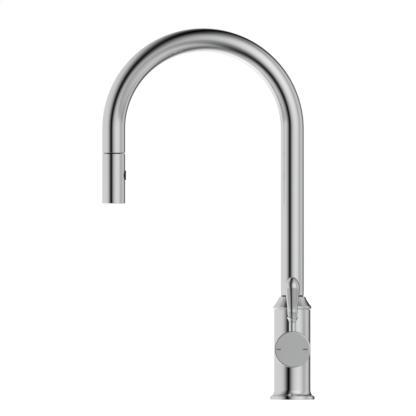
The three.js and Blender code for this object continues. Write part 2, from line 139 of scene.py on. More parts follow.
def bowed(start, control, end, steps=16):
    """A quadratic curve: each point is (1-t)^2 start + 2t(1-t) control + t^2 end."""
    t = np.linspace(0, 1, steps + 1)[:, None]
    start, control, end = (np.array(p, float) for p in (start, control, end))
    return (1 - t) ** 2 * start + 2 * t * (1 - t) * control + t**2 * end


def circle_part(centre, radius, from_deg, to_deg, steps=16):
    """Points on a circle, evenly turned from one angle to the other."""
    a = np.radians(np.linspace(from_deg, to_deg, steps + 1))
    return np.array(centre) + radius * np.stack([np.cos(a), np.sin(a)], 1)


def smooth_through(points, steps=64):
    """A smooth curve through given points: a cubic in each span, with slopes taken from the neighbours.

    With h the span's length, p and q its ends and a and b their slopes, the curve at t is
    (2t^3-3t^2+1) p + (t^3-2t^2+t) h a + (3t^2-2t^3) q + (t^3-t^2) h b.
    """
    p = np.array(points, float)
    along = np.concatenate([[0], np.cumsum(np.hypot(*np.diff(p, axis=0).T))])
    slope = np.gradient(p, along, axis=0)
    s = np.linspace(0, along[-1], steps + 1)
    k = np.clip(np.searchsorted(along, s, side="right") - 1, 0, len(p) - 2)
    h = (along[k + 1] - along[k])[:, None]
    t = ((s - along[k])[:, None]) / h
    return (
        (2 * t**3 - 3 * t**2 + 1) * p[k]
        + (t**3 - 2 * t**2 + t) * h * slope[k]
        + (3 * t**2 - 2 * t**3) * p[k + 1]
        + (t**3 - t**2) * h * slope[k + 1]
    )


def densified(points, step):
    """The same outline with extra points no further apart than step along its runs."""
    along = np.concatenate([[0], np.cumsum(np.hypot(*np.diff(points, axis=0).T))])
    s = np.unique(np.concatenate([along, np.arange(0, along[-1], step)]))
    keep = np.concatenate([[True], np.diff(s) > 1e-6])
    return np.stack([np.interp(s[keep], along, points[:, k]) for k in (0, 1)], 1)


# ---------------------------------------------------------------- meshes


def grid_faces(rows, turns, closed_rows):
    """Quads of a grid that closes round its turns, and round its rows too if closed_rows is set."""
    i = np.arange(rows if closed_rows else rows - 1)[:, None]
    j = np.arange(turns)[None]
    below, above = i * turns, (i + 1) % rows * turns
    right = (j + 1) % turns
    return np.stack([below + j, below + right, above + right, above + j], -1).reshape(-1, 4)


def facing_out(points, faces):
    """The faces, turned round if the volume that they enclose comes out negative."""
    a, b, c = (points[faces[:, k]] for k in (0, 1, 2))
    volume = np.einsum("ij,ij->", a, np.cross(b, c))
    if faces.shape[1] == 4:
        d = points[faces[:, 3]]
        volume += np.einsum("ij,ij->", a, np.cross(c, d))
    return faces if volume > 0 else faces[:, ::-1]


class Shape:
    """Points and faces of one closed surface or of several together."""

    def __init__(self, points, faces):
        self.points = points
        self.faces = faces if isinstance(faces, list) else faces.tolist()

    def __add__(self, other):
        shift = len(self.points)
        shifted = [[k + shift for k in face] for face in other.faces]
        return Shape(np.concatenate([self.points, other.points]), self.faces + shifted)

    def moved(self, x=0.0, y=0.0, z=0.0):
        """The same shape, shifted."""
        return Shape(self.points + np.array([x, y, z]), self.faces)


def turned(profile, turns=128, relief=None):
    """A surface of revolution about Z: the outline's point (r, h) at angle t is (r cos t, r sin t, h).

    An outline whose first and last radii are zero ends in two poles. Any other closes on itself. A pole's
    triangles are held as quads with one corner twice, and the repeat is dropped at the end. relief(r, h, t)
    gives a change of radius over the whole grid, for threads, flats and ribs.
    """
    r, h = profile.T
    poles = r[0] == 0 and r[-1] == 0
    t = np.arange(turns) * 2 * np.pi / turns
    rows = slice(1, -1) if poles else slice(None)
    radius = np.repeat(r[rows, None], turns, 1)
    height = np.repeat(h[rows, None], turns, 1)
    if relief is not None:
        radius = radius + relief(radius, height, t[None])
    grid = np.stack([radius * np.cos(t), radius * np.sin(t), height], -1)
    points = grid.reshape(-1, 3)
    count = len(grid)
    faces = grid_faces(count, turns, not poles)
    if not poles:
        return Shape(points, facing_out(points, faces))
    j = np.arange(turns)
    last = (count - 1) * turns
    first_pole, last_pole = len(points), len(points) + 1
    points = np.concatenate([points, [[0, 0, h[0]], [0, 0, h[-1]]]])
    fans = np.concatenate(
        [
            np.stack([np.full(turns, first_pole), (j + 1) % turns, j], -1),
            np.stack([np.full(turns, last_pole), last + j, last + (j + 1) % turns], -1),
        ]
    )
    oriented = facing_out(points, np.concatenate([faces, fans[:, [0, 0, 1, 2]]]))
    return Shape(points, [list(dict.fromkeys(face)) for face in oriented.tolist()])


def outward(shape):
    """Turns a shape made about Z so that its axis points out of the hub, towards -Y."""
    x, y, z = shape.points.T
    return Shape(np.stack([x, -z, y + HUB_Z], -1), shape.faces)


def sideways(shape):
    """Turns a shape made about Z so that its axis points along +X at the button's height."""
    x, y, z = shape.points.T
    return Shape(np.stack([z, y, BUTTON_Z - x], -1), shape.faces)


def centreline(s):
    """The spout's middle at distances s from the riser's foot, with the outward direction in its plane.

    Up the riser, then round a half circle of radius ARC_R, then straight down over the outlet.
    """
    rise = ARC_Z - RISER_FOOT
    angle = np.clip((s - rise) / ARC_R, 0, np.pi)
    fall = np.maximum(s - rise - np.pi * ARC_R, 0)
    x = -ARC_R + ARC_R * np.cos(angle)
    z = np.minimum(RISER_FOOT + s, ARC_Z) + ARC_R * np.sin(angle) - fall
    return np.stack([x, 0 * x, z], -1), np.stack([np.cos(angle), 0 * x, np.sin(angle)], -1)


def along_spout(profile, turns=96):
    """A tube along the spout: the outline's point (r, s) at angle t is the middle at s plus
    r cos t times the outward direction and r sin t along Y."""
    r, s = profile.T
    middle, out = centreline(s)
    t = np.arange(turns) * 2 * np.pi / turns
    across = np.array([0.0, 1.0, 0.0])
    ring = np.cos(t)[None, :, None] * out[:, None] + np.sin(t)[None, :, None] * across
    points = (middle[:, None] + r[:, None, None] * ring).reshape(-1, 3)
    return Shape(points, facing_out(points, grid_faces(len(r), turns, True)))


def piece(name, shape, body, nodes, material, sharp=None):
    """Puts a shape into a mesh, and tells the frame which body it rides on and what it replaces."""
    mesh = bpy.data.meshes.new(name)
    mesh.from_pydata((shape.points * MM).tolist(), [], shape.faces)
    mesh.shade_smooth()
    if sharp:
        mesh.set_sharp_from_angle(angle=math.radians(sharp))
    mesh.materials.append(material)
    made = bpy.data.objects.new(name, mesh)
    bpy.context.scene.collection.objects.link(made)
    if body:
        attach(made, body)
    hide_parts(*nodes)
    return made


# ---------------------------------------------------------------- materials


class Finish:
    """A procedural material: a principled shader and the nodes that vary it over Object coordinates."""

    def __init__(self, name, **sockets):
        self.material = bpy.data.materials.new(name)
        self.material.use_nodes = True
        self.nodes = self.material.node_tree.nodes
        self.links = self.material.node_tree.links
        self.shader = self.nodes["Principled BSDF"]
        for socket, value in sockets.items():
            self.shader.inputs[socket.replace("_", " ")].default_value = value
        self.place = self.nodes.new("ShaderNodeTexCoord").outputs["Object"]

    def stretched(self, scale):
        """The place, scaled apart along X, Y and Z, so that a pattern runs in lines."""
        mapping = self.nodes.new("ShaderNodeMapping")
        mapping.inputs["Scale"].default_value = scale
        self.links.new(self.place, mapping.inputs["Vector"])
        return mapping.outputs["Vector"]

    def noise(self, scale, detail=4.0, roughness=0.55, place=None):
        """A soft random pattern with so many cells a metre."""
        node = self.nodes.new("ShaderNodeTexNoise")
        node.inputs["Scale"].default_value = scale
        node.inputs["Detail"].default_value = detail
        node.inputs["Roughness"].default_value = roughness
        self.links.new(place or self.place, node.inputs["Vector"])
        return node.outputs["Fac"]

    def ranged(self, value, low, high, from_low=0.3, from_high=0.7):
        """The pattern's middle range, spread from low to high."""
        node = self.nodes.new("ShaderNodeMapRange")
        node.inputs["From Min"].default_value = from_low
        node.inputs["From Max"].default_value = from_high
        node.inputs["To Min"].default_value = low
        node.inputs["To Max"].default_value = high
        self.links.new(value, node.inputs["Value"])
        return node.outputs["Result"]

    def tinted(self, value, dark, light):
        """The colour goes from dark to light with the pattern."""
        ramp = self.nodes.new("ShaderNodeValToRGB")
        ramp.color_ramp.elements[0].color = (*dark, 1)
        ramp.color_ramp.elements[1].color = (*light, 1)
        ramp.color_ramp.elements[0].position = 0.3
        ramp.color_ramp.elements[1].position = 0.7
        self.links.new(value, ramp.inputs["Fac"])
        self.links.new(ramp.outputs["Color"], self.shader.inputs["Base Color"])

    def rough(self, value):
        """The gloss follows the pattern."""
        self.links.new(value, self.shader.inputs["Roughness"])

    def bumped(self, value, strength, distance):
        """The surface is raised by the pattern, up to a distance in metres."""
        bump = self.nodes.new("ShaderNodeBump")
        bump.inputs["Strength"].default_value = strength
        bump.inputs["Distance"].default_value = distance
        self.links.new(value, bump.inputs["Height"])
        self.links.new(bump.outputs["Normal"], self.shader.inputs["Normal"])


def polished_chrome():
    """Mirror chrome: faint smears change its roughness, and the plate has a very slight long wave."""
    f = Finish("polished_chrome", Metallic=1.0)
    f.tinted(f.noise(18, 3), (0.86, 0.865, 0.875), (0.9, 0.905, 0.91))
    f.rough(f.ranged(f.noise(55, 6, 0.65), 0.004, 0.02))
    f.bumped(f.noise(2600, 2), 0.03, 0.00001)
    return f.material


def turned_brass():
    """Unplated brass, with fine turning marks round each piece's height and a dull patina."""
    f = Finish("turned_brass", Metallic=1.0)
    f.tinted(f.noise(60, 5), (0.58, 0.43, 0.2), (0.74, 0.59, 0.32))
    f.rough(f.ranged(f.noise(300, 5), 0.24, 0.42))
    f.bumped(f.noise(500, 3, place=f.stretched((0.4, 0.4, 12))), 0.25, 0.00005)
    return f.material


def satin_steel():
    """Satin stainless steel, brushed round its height."""
    f = Finish("satin_steel", Metallic=1.0)
    f.tinted(f.noise(40, 4), (0.5, 0.505, 0.51), (0.63, 0.635, 0.64))
    f.rough(f.ranged(f.noise(420, 5), 0.22, 0.38))
    f.bumped(f.noise(600, 3, place=f.stretched((0.3, 0.3, 14))), 0.2, 0.00004)
    return f.material


def drawn_copper():
    """Copper pipe, tarnished in soft patches, with drawing lines along its length."""
    f = Finish("drawn_copper", Metallic=1.0)
    f.tinted(f.noise(45, 6), (0.48, 0.25, 0.15), (0.78, 0.46, 0.31))
    f.rough(f.ranged(f.noise(150, 5), 0.22, 0.45))
    f.bumped(f.noise(700, 3, place=f.stretched((8, 8, 0.3))), 0.2, 0.00004)
    return f.material


def moulded(name, dark, light, rough_low, rough_high, grain, depth):
    """Moulded plastic or rubber: a faint mottle, uneven gloss and a fine moulded grain."""
    f = Finish(name, Specular_IOR_Level=0.5)
    f.tinted(f.noise(120, 4), dark, light)
    f.rough(f.ranged(f.noise(500, 4), rough_low, rough_high))
    f.bumped(f.noise(grain, 3), 0.35, depth)
    return f.material


def lapped_ceramic():
    """White ceramic with a lapped, slightly speckled face."""
    f = Finish("lapped_ceramic", Coat_Weight=0.3, Coat_Roughness=0.08)
    f.tinted(f.noise(900, 3), (0.78, 0.77, 0.73), (0.9, 0.89, 0.86))
    f.rough(f.ranged(f.noise(400, 4), 0.12, 0.28))
    f.bumped(f.noise(2200, 2), 0.15, 0.00003)
    return f.material


CHROME = polished_chrome()
BRASS = turned_brass()
STEEL = satin_steel()
COPPER = drawn_copper()
CERAMIC = lapped_ceramic()
BLACK = moulded(
    "satin_black_plastic", (0.008, 0.008, 0.009), (0.014, 0.014, 0.015), 0.22, 0.36, 2600, 0.00003
)
GREY = moulded("moulded_grey_plastic", (0.15, 0.155, 0.16), (0.2, 0.205, 0.21), 0.38, 0.55, 1800, 0.00005)
RUBBER = moulded("black_rubber", (0.014, 0.014, 0.014), (0.028, 0.028, 0.027), 0.6, 0.82, 1500, 0.00006)
JACKET = moulded("hose_jacket", (0.05, 0.052, 0.055), (0.075, 0.078, 0.082), 0.35, 0.5, 1400, 0.00005)
ENAMEL = moulded("mark_enamel", (0.1, 0.103, 0.107), (0.14, 0.143, 0.148), 0.3, 0.42, 3000, 0.00002)

FINISHES = {
    "polished_chrome": CHROME,
    "brass": BRASS,
    "steel": STEEL,
    "copper": COPPER,
    "ceramic": CERAMIC,
    "black_plastic": BLACK,
    "grey_plastic": GREY,
    "black_rubber": RUBBER,
    "hose_jacket": JACKET,
    "mark_enamel": ENAMEL,
}


def finish_cad_nodes():
    """Gives every CAD node the finish of its slot in the record."""
    for part in frame["record"]["subparts"]:
        node = bpy.data.objects.get(part["node"])
        if node is None:
            continue
        for holder in node.material_slots:
            holder.material = FINISHES[part["material_slot"]]


# ---------------------------------------------------------------- body, base and collar


def body_casting():
    """The body's wall: a lip with a fine groove over it, an elliptical cove, the barrel, a soft top edge."""
    cove_r, lip_top, cove_top = 4.1, 4.35, 12.0
    groove_foot, cove_foot = 25.5, lip_top + 0.5
    a = np.radians(np.linspace(268, 180, 25))
    cove = np.stack(
        [BODY_R + cove_r + cove_r * np.cos(a), cove_top + (cove_top - cove_foot) * np.sin(a)], 1
    )
    cove_end = BODY_R + cove_r - 0.2
    barrel_bore, foot_thickness, gasket_seat, gasket_depth = 20.2, 12.0, 25.2, 1.5
    foot = rounded(
        [(gasket_seat, gasket_depth), (gasket_seat, 0, 0.2), (BASE_R, 0, 0.35), (BASE_R, lip_top, 0.7),
         (groove_foot, lip_top, 0.1), (groove_foot, cove_foot, 0.1), (cove_end, cove_foot)],
        closed=False,
    )
    top = rounded(
        [(BODY_R, cove_top), (BODY_R, BODY_TOP, 0.35), (barrel_bore, BODY_TOP, 0.3),
         (barrel_bore, foot_thickness), (BASE_BORE, foot_thickness), (BASE_BORE, gasket_depth)],
        closed=False,
    )[1:]
    lift = np.array([[BODY_R, cove_top + 0.05], [BODY_R, 40.0], [BODY_R, 80.0]])
    shape = turned(np.concatenate([foot, cove, lift, top]), 160)
    piece("body_casting", shape, "root", ["body_shell"], CHROME, 50)


def turned_collar():
    """The collar: a bead over the body, a hollow cone up to the riser, and a small round top edge."""
    bead_foot, cone_foot, cone_top, step = 111.05, (22.3, 115.3), (16.45, 124.9), 125.0
    bore, skirt_r, skirt_foot = 15.2, 19.9, 100.5
    bead = smooth_through([(22.3, bead_foot), (23.2, 111.45), (23.6, 112.5), (23.2, 113.95), cone_foot], 20)
    cone = bowed(cone_foot, (18.2, 120.7), cone_top, 28)[1:]
    rim = rounded(
        [cone_top, (15.95, COLLAR_TOP, 0.5), (13.9, COLLAR_TOP, 0.25), (13.9, step), (bore, step),
         (bore, skirt_foot), (skirt_r, skirt_foot), (skirt_r, bead_foot)],
        closed=False,
    )[1:]
    shape = turned(np.concatenate([bead, cone, rim]), 160)
    piece("turned_collar", shape, "root", ["neck_collar"], CHROME, 50)


def flat_ring(outer, inner, low, high, edge):
    """A ring of square section with its four edges rounded."""
    return rounded([(inner, low, edge), (outer, low, edge), (outer, high, edge), (inner, high, edge)], 4)


def thread(crest, pitch, depth, low, high):
    """A screw thread as a change of radius: a rounded groove that follows height / pitch - angle / turn."""

    def relief(r, h, t):
        groove = 0.5 - 0.5 * np.cos(2 * np.pi * (h / pitch - t / (2 * np.pi)))
        fade = np.clip((h - low) / pitch, 0, 1) * np.clip((high - h) / pitch, 0, 1)
        return np.where(r > crest - 0.01, -depth * groove * fade, 0.0)

    return relief


def clamp_under_deck():
    """The threaded shank, washers, lock nut and jack screws that clamp the deck."""
    low, high = span("mounting_shank")
    shank_r, bore = 16.5, 14.5
    flange_r, flange_foot = 19.8, 12.3
    outline = rounded(
        [(bore, low[2], 0.3), (shank_r, low[2], 0.8), (shank_r, flange_foot), (flange_r, flange_foot, 0.3),
         (flange_r, high[2], 0.3), (bore, high[2], 0.3)],
        4,
    )
    outline = densified(np.concatenate([outline, outline[:1]]), 0.3)[:-1]
    shape = turned(outline, 72, thread(shank_r, 2.0, 0.7, low[2] + 1, 8.0))
    piece("threaded_shank", shape, "root", ["mounting_shank"], BRASS, 60)

    gasket = turned(flat_ring(24.9, BASE_BORE, 0, 1.2, 0.3), 96)
    piece("base_seal_ring", gasket, "root", ["base_gasket"], RUBBER, 50)
    low, high = span("deck_washer")
    washer = turned(flat_ring(27, BASE_BORE, low[2], high[2], 0.6), 96)
    piece("rubber_deck_washer", washer, "root", ["deck_washer"], RUBBER, 50)
    low, high = span("clamp_washer")
    washer = turned(flat_ring(27.5, BASE_BORE, low[2], high[2], 0.3), 96)
    piece("steel_clamp_washer", washer, "root", ["clamp_washer"], STEEL, 50)

    low, high = span("lock_nut")

    def lobes(r, h, t):
        """Twelve finger scallops round the rim, cut into every point further than 26 from the axis."""
        return np.where(r > 26, -0.9 * np.abs(np.sin(6 * t)) ** 6, 0.0)

    nut = turned(densified(flat_ring(26.5, BASE_BORE, low[2], high[2], 0.5), 2.0), 192, lobes)
    piece("scalloped_lock_nut", nut, "root", ["lock_nut"], BRASS, 50)

    screw_place, screw_r, head_r, socket_r = 21.7, 2.5, 4.0, 2.0
    for side, node in ((-1, "jack_screw_left"), (1, "jack_screw_right")):
        low, high = span(node)
        foot, socket_top, head_top_face = low[2], low[2] + 1.6, low[2] + 4
        outline = rounded(
            [(0, socket_top), (socket_r, socket_top), (socket_r, foot, 0.2), (head_r, foot, 0.5),
             (head_r, head_top_face, 0.4), (screw_r, head_top_face), (screw_r, high[2], 0.3), (0, high[2])],
            4,
            closed=False,
        )
        screw = turned(densified(outline, 0.2), 32, thread(screw_r, 0.9, 0.3, foot + 4.5, high[2]))
        name = node.replace("jack_screw", "jack_screw_turned")
        piece(name, screw.moved(x=side * screw_place), "root", [node], STEEL, 50)


def supply_pipes():
    """Three copper pipes with softened ends, and the crimped brass end of the spray hose."""
    for node in ("hot_inlet_pipe", "cold_inlet_pipe", "mixed_outlet_pipe"):
        low, high = span(node)
        x, y = (low[:2] + high[:2]) / 2
        outline = flat_ring(4, 3, low[2], high[2], 0.3)
        pipe = turned(outline, 40).moved(x, y)
        piece(node.replace("_pipe", "_tube"), pipe, "root", [node], COPPER, 50)

    low, high = span("hose_inlet_fitting")
    x, y = (low[:2] + high[:2]) / 2
    foot, head = low[2], high[2]
    outline = rounded(
        [(0, foot + 3), (2.4, foot + 3), (2.4, foot, 0.2), (4, foot, 0.4), (4, foot + 2), (3.4, foot + 2.4),
         (3.4, foot + 4), (4, foot + 4.4), (4, foot + 6), (6.6, foot + 7, 0.6), (6.6, head, 0.8), (0, head)],
        5,
        closed=False,
    )

    def crimps(r, h, t):
        """Three shallow crimp rings round the sleeve."""
        band = 0.5 - 0.5 * np.cos(2 * np.pi * (h - foot - 7.5) / 3)
        return np.where((r > 6.5) & (h > foot + 7.6) & (h < head - 1), -0.45 * band, 0.0)

    fitting = turned(densified(outline, 0.25), 64, crimps)
    piece("crimped_hose_end", fitting.moved(x, y), "root", ["hose_inlet_fitting"], BRASS, 50)


# ---------------------------------------------------------------- side hub and handle


def with_low_opening(points):
    """Shifts a dome's round opening down by 2.2, where the stem swings.

    The opening's edge is a circle, so at turn t it is -2.2 sin t + sqrt(11.4^2 - (2.2 cos t)^2) from the
    axis. A point's angle from the axis slides in proportion between the dome's fixed rim and that edge.
    """
    opening, shift, fixed, edge = 11.4, 2.2, math.radians(42), math.radians(28)
    x, y, z = points.T
    out = z - PIVOT_OUT
    t, distance = np.arctan2(y, x), np.sqrt(x**2 + y**2 + out**2)
    polar = np.arctan2(np.hypot(x, y), out)
    opened = -shift * np.sin(t) + np.sqrt(opening**2 - (shift * np.cos(t)) ** 2)
    share = np.clip((fixed - polar) / (fixed - edge), 0, 1)
    slid = fixed - share * (fixed - np.arcsin(opened / distance))
    polar = np.where(polar < fixed, slid, polar)
    round_axis = distance * np.sin(polar)
    return np.stack([round_axis * np.cos(t), round_axis * np.sin(t), PIVOT_OUT + distance * np.cos(polar)], 1)


def hub_sleeve_and_dome():
    """The fixed sleeve that stands out of the body, and the domed cover that the handle cap slides over."""
    low, high = span("hub_sleeve")
    sleeve = turned(flat_ring(SLEEVE_R, 17.2, -high[1], -low[1], 0.3), 128)
    piece("hub_sleeve_turned", outward(sleeve), "root", ["hub_sleeve"], CHROME, 50)
    centre = (0, PIVOT_OUT)
    outline = np.concatenate(
        [
            [[15, 37.5], [16.9, 37.5], [16.9, 40.7]],
            circle_part(centre, DOME_R, 37.8, 62, 24),
            circle_part(centre, DOME_R - 1.6, 62.5, 48, 20),
        ]
    )
    dome = turned(outline, 128)
    dome.points = with_low_opening(dome.points)
    piece("hub_dome", outward(dome), "root", ["bonnet"], CHROME, 50)


def handle_cap():
    """The round cap: a flat mirror face with a soft edge, over a spherical recess that clears the dome."""
    recess_r, face = DOME_R + 0.6, HUB_FACE - 0.05
    edge_angle = math.degrees(math.asin((HUB_RIM - PIVOT_OUT) / recess_r))
    outside = rounded(
        [(0, face), (HUB_R, face, 1.5), (HUB_R, HUB_RIM, 0.4),
         (recess_r * math.cos(math.radians(edge_angle)), HUB_RIM)],
        10,
        closed=False,
    )
    recess = circle_part((0, PIVOT_OUT), recess_r, edge_angle, 90, 24)[1:]
    recess[-1, 0] = 0.0
    cap = turned(np.concatenate([outside, recess]), 160)
    piece("handle_cap_polished", outward(cap), "handle", ["handle_cap"], CHROME, 50)


def index_marks():
    """Two plain inlaid bars on the cap's face: flat, with round ends, and a slightly domed top."""
    sides = 48
    t = np.arange(sides) * 2 * np.pi / sides
    for node in ("hot_mark", "cold_mark"):
        low, high = span(node)
        middle, half_width = (low[0] + high[0]) / 2, (high[2] - low[2]) / 2
        half_run = (high[0] - low[0]) / 2 - half_width
        rings = []
        for grow, depth in ((1.0, 0.35), (1.0, 0.02), (0.94, 0.0), (0.8, 0.0)):
            x = middle + half_run * np.sign(np.cos(t)) + grow * half_width * np.cos(t)
            y = grow * half_width * np.sin(t)
            rings.append(np.stack([x, y, np.full_like(x, HUB_FACE - depth)], -1))
        points = np.concatenate(rings)
        faces = grid_faces(len(rings), sides, False).tolist()
        faces += [list(range(sides))[::-1], list(range(len(points) - sides, len(points)))]
        piece(node + "_inlay", outward(Shape(points, faces)), "handle", [node], ENAMEL, 50)


def lever():
    """The upright lever: a slim neck, a flared ferrule, and a grip that swells and ends in a round point."""
    pin_r, neck_r, pin_top = 3, 4.3, 112
    neck = np.concatenate(
        [
            [[0, 77.4], [pin_r, 77.4], [pin_r, 82.6], [neck_r, 82.6], [neck_r, 83], [neck_r, 94.2]],
            bowed((neck_r, 94.4), (4.45, 97.6), (6.2, 99.55), 14),
            smooth_through([(6.3, 99.7), (6.7, 100.2), (6.75, 100.9), (6.4, 101.45), (5.75, 101.75)], 14),
            [[5.4, 101.8], [pin_r, 101.8], [pin_r, pin_top], [0, pin_top]],
        ]
    )
    shape = turned(neck, 96).moved(y=-LEVER_OUT)
    piece("lever_neck_turned", shape, "handle", ["lever_neck"], CHROME, 50)

    shoulder = (4.2, 148.5)
    swell = smooth_through(
        [(5.6, 102.5), (5.95, 104.2), (6.2, 106.3), (6.4, 111.3), (6.7, 116.2), (7.15, 121.2), (7.65, 126.3),
         (8.2, 131.3), (8.6, 135.2), (8.7, 138.2), (8.1, 141.5), (7.05, 144.0), (5.75, 146.3), shoulder],
        100,
    )
    tip = bowed(shoulder, (2.7, GRIP_TOP), (0, GRIP_TOP), 14)[1:]
    foot = np.array([[0, 112.4], [3.3, 112.4], [3.3, 102.0], [5.2, 102.0], [5.45, 102.15]])
    shape = turned(np.concatenate([foot, swell, tip]), 112).moved(y=-LEVER_OUT)
    piece("lever_grip_polished", shape, "handle", ["lever_grip"], CHROME, 50)


# ---------------------------------------------------------------- spout


def gooseneck():
    """The spout tube: one wall along the whole centreline, with both ends rounded over into the bore."""
    length = (ARC_Z - RISER_FOOT) + np.pi * ARC_R + (ARC_Z - SPOUT_END)
    outline = rounded(
        [(TUBE_BORE, 0, 0.3), (TUBE_R, 0, 0.35), (TUBE_R, length, 0.35), (TUBE_BORE, length, 0.3)], 6
    )
    outline = densified(np.concatenate([outline, outline[:1]]), 3.0)[:-1]
    shape = along_spout(outline, 112)
    piece("gooseneck_tube", shape, "spout", ["spout_tube"], CHROME, 50)

    seam = 0.05
    ring = turned(flat_ring(13.5, 12.5, COLLAR_TOP + seam, RISER_FOOT - seam, 0.1), 96)
    piece("slip_ring_moulded", ring, "spout", ["slip_ring"], BLACK, 50)


def dock():
    """The bush in the spout's mouth, with its flange in the seam, and the magnet ring that holds the head."""
    low, high = span("dock_insert")
    outline = rounded(
        [(11.3, low[2], 0.2), (13.2, low[2], 0.15), (13.2, low[2] + 0.6, 0.15), (12.1, low[2] + 0.6),
         (12.1, high[2], 0.4), (9.3, high[2], 0.8), (9.3, DOCK_SHOULDER), (11.3, DOCK_SHOULDER)],
        4,
    )
    bush = turned(outline, 96).moved(x=-REACH)
    piece("dock_bush", bush, "spout", ["dock_insert"], BLACK, 50)
    low, high = span("magnet_ring")
    magnet = turned(flat_ring(11, 9.3, low[2], high[2], 0.3), 80).moved(x=-REACH)
    piece("dock_magnet", magnet, "spout", ["magnet_ring"], STEEL, 50)


# ---------------------------------------------------------------- spray head


def head_wall():
    """The spray head's wall with a round well for the button.

    The wall is a grid of angle and height. Near the well, a point at (across, up) from its middle moves so
    that squares become circles: it is scaled by 1 + w (c / d - 1), with c the larger of |across| and |up|,
    d its distance and w falling from 1 at the well to 0 at the block's edge. Cells inside the well are left
    out, outside and inside the wall alike, and the two rims are joined through a rounded lip.
    """
    bore, cell, reach_out = 12.5, 0.45, 3.2
    well = BUTTON_R + 0.3
    lip = 0.25
    half = round((well + lip) / cell)
    cell = (well + lip) / half
    block = half + round(reach_out / cell)
    turns = round(2 * np.pi * TUBE_R / cell / 4) * 4
    low = HEAD_BOTTOM + 0.8
    high = HEAD_TOP - 0.6
    below = np.linspace(low, BUTTON_Z - block * cell, 24)[:-1]
    middle = BUTTON_Z + np.arange(-block, block + 1) * cell
    above = np.linspace(BUTTON_Z + block * cell, high, 16)[1:]
    heights = np.concatenate([below, middle, above])
    count = len(heights)
    first = len(below) + block - half

    angle_step = 2 * np.pi / turns
    column = (np.arange(turns) + turns // 2) % turns - turns // 2
    across = column * cell
    up = heights - BUTTON_Z
    a, u = np.meshgrid(across, up)
    c = np.maximum(np.abs(a), np.abs(u))
    d = np.maximum(np.hypot(a, u), 1e-9)
    w = np.clip((block * cell - c) / ((block - half) * cell), 0, 1)
    w = w * w * (3 - 2 * w)
    scale = 1 + w * (c / d - 1)
    angle = a * scale / cell * angle_step
    height = BUTTON_Z + u * scale

    def ring_rows(radius, height_rows):
        t = np.arange(turns) * angle_step
        r, h = np.asarray(radius)[:, None], np.asarray(height_rows)[:, None]
        return np.stack([r * np.cos(t), r * np.sin(t), h + 0 * t], -1)

    def wall_rows(radius):
        return np.stack([radius * np.cos(angle), radius * np.sin(angle), height], -1)

    over_top = [(TUBE_R, high), (TUBE_R, HEAD_TOP, 0.35), (bore, HEAD_TOP, 0.3), (bore, high)]
    round_foot = [(bore, low), (bore, HEAD_BOTTOM, 0.3), (TUBE_R, HEAD_BOTTOM, 0.5), (TUBE_R, low)]
    top, foot = (rounded(ends, 6, closed=False)[1:-1] for ends in (over_top, round_foot))
    grid = np.concatenate([wall_rows(TUBE_R), ring_rows(*top.T), wall_rows(bore)[::-1], ring_rows(*foot.T)])
    points = grid.reshape(-1, 3)
    faces = grid_faces(len(grid), turns, True)

    inner_start = count + len(top)
    row, col = np.divmod(faces[:, 0], turns)
    col = (col + turns // 2) % turns - turns // 2
    in_columns = (col >= -half) & (col < half)
    outer_hole = (row >= first) & (row < first + 2 * half)
    inner_first = inner_start + (count - 1 - first - 2 * half)
    inner_hole = (row >= inner_first) & (row < inner_first + 2 * half)
    faces = faces[~(in_columns & (outer_hole | inner_hole))]

    side = np.arange(-half, half)
    loop = np.concatenate(
        [
            np.stack([np.full(2 * half, -half), side], 1),
            np.stack([side, np.full(2 * half, half)], 1),
            np.stack([np.full(2 * half, half), -side], 1),
            np.stack([-side, np.full(2 * half, -half)], 1),
        ]
    )
    outer_rim = (first + half + loop[:, 0]) * turns + loop[:, 1] % turns
    inner_rim = (inner_start + count - 1 - (first + half + loop[:, 0])) * turns + loop[:, 1] % turns
    rim_x, rim_y, rim_z = points[outer_rim].T
    tilt = np.arctan2(rim_z - BUTTON_Z, TUBE_R * np.arctan2(rim_y, rim_x))
    lips = []
    for turn in np.radians([30, 60, 90]):
        r = well + lip - lip * math.sin(turn)
        depth = TUBE_R - lip * (1 - math.cos(turn))
        arc = r * np.cos(tilt) / TUBE_R
        lips.append(np.stack([depth * np.cos(arc), depth * np.sin(arc), BUTTON_Z + r * np.sin(tilt)], 1))
    total = len(points)
    points = np.concatenate([points, *lips])
    n = len(loop)
    rims = [outer_rim, *(total + k * n + np.arange(n) for k in range(3)), inner_rim]
    following = np.roll(np.arange(n), -1)
    joins = [
        np.stack([p[np.arange(n)], p[following], q[following], q[np.arange(n)]], 1)
        for p, q in zip(rims, rims[1:])
    ]
    faces = np.concatenate([faces, *(j[:, ::-1] for j in joins)])
    faces = facing_out(points, faces)
    shape = Shape(points, faces).moved(x=-REACH)
    piece("spray_head_wall", shape, "spray_head", ["head_shell"], CHROME, 50)


def button():
    """The black button: a round post behind the wall, with a face that follows the head and a soft edge."""
    flange_r, flange_back, flange_front = 7.5, 8.2, 9.4
    outline = rounded(
        [(0, flange_back), (flange_r, flange_back, 0.3), (flange_r, flange_front, 0.3),
         (BUTTON_R, flange_front), (BUTTON_R, BUTTON_FACE, 0.9), (0, BUTTON_FACE)],
        8,
        closed=False,
    )
    shape = turned(densified(outline, 0.5), 96)
    along = shape.points[:, 2]
    dish = 0.35 * np.clip(1 - np.hypot(*shape.points[:, :2].T) / 4.6, 0, 1) ** 0.5
    shape.points[:, 2] = np.where(along > BUTTON_FACE - 0.05, along - dish, along)
    shape = sideways(shape).moved(x=-REACH)
    piece("spray_button_moulded", shape, "spray_button", ["spray_button"], BLACK, 60)


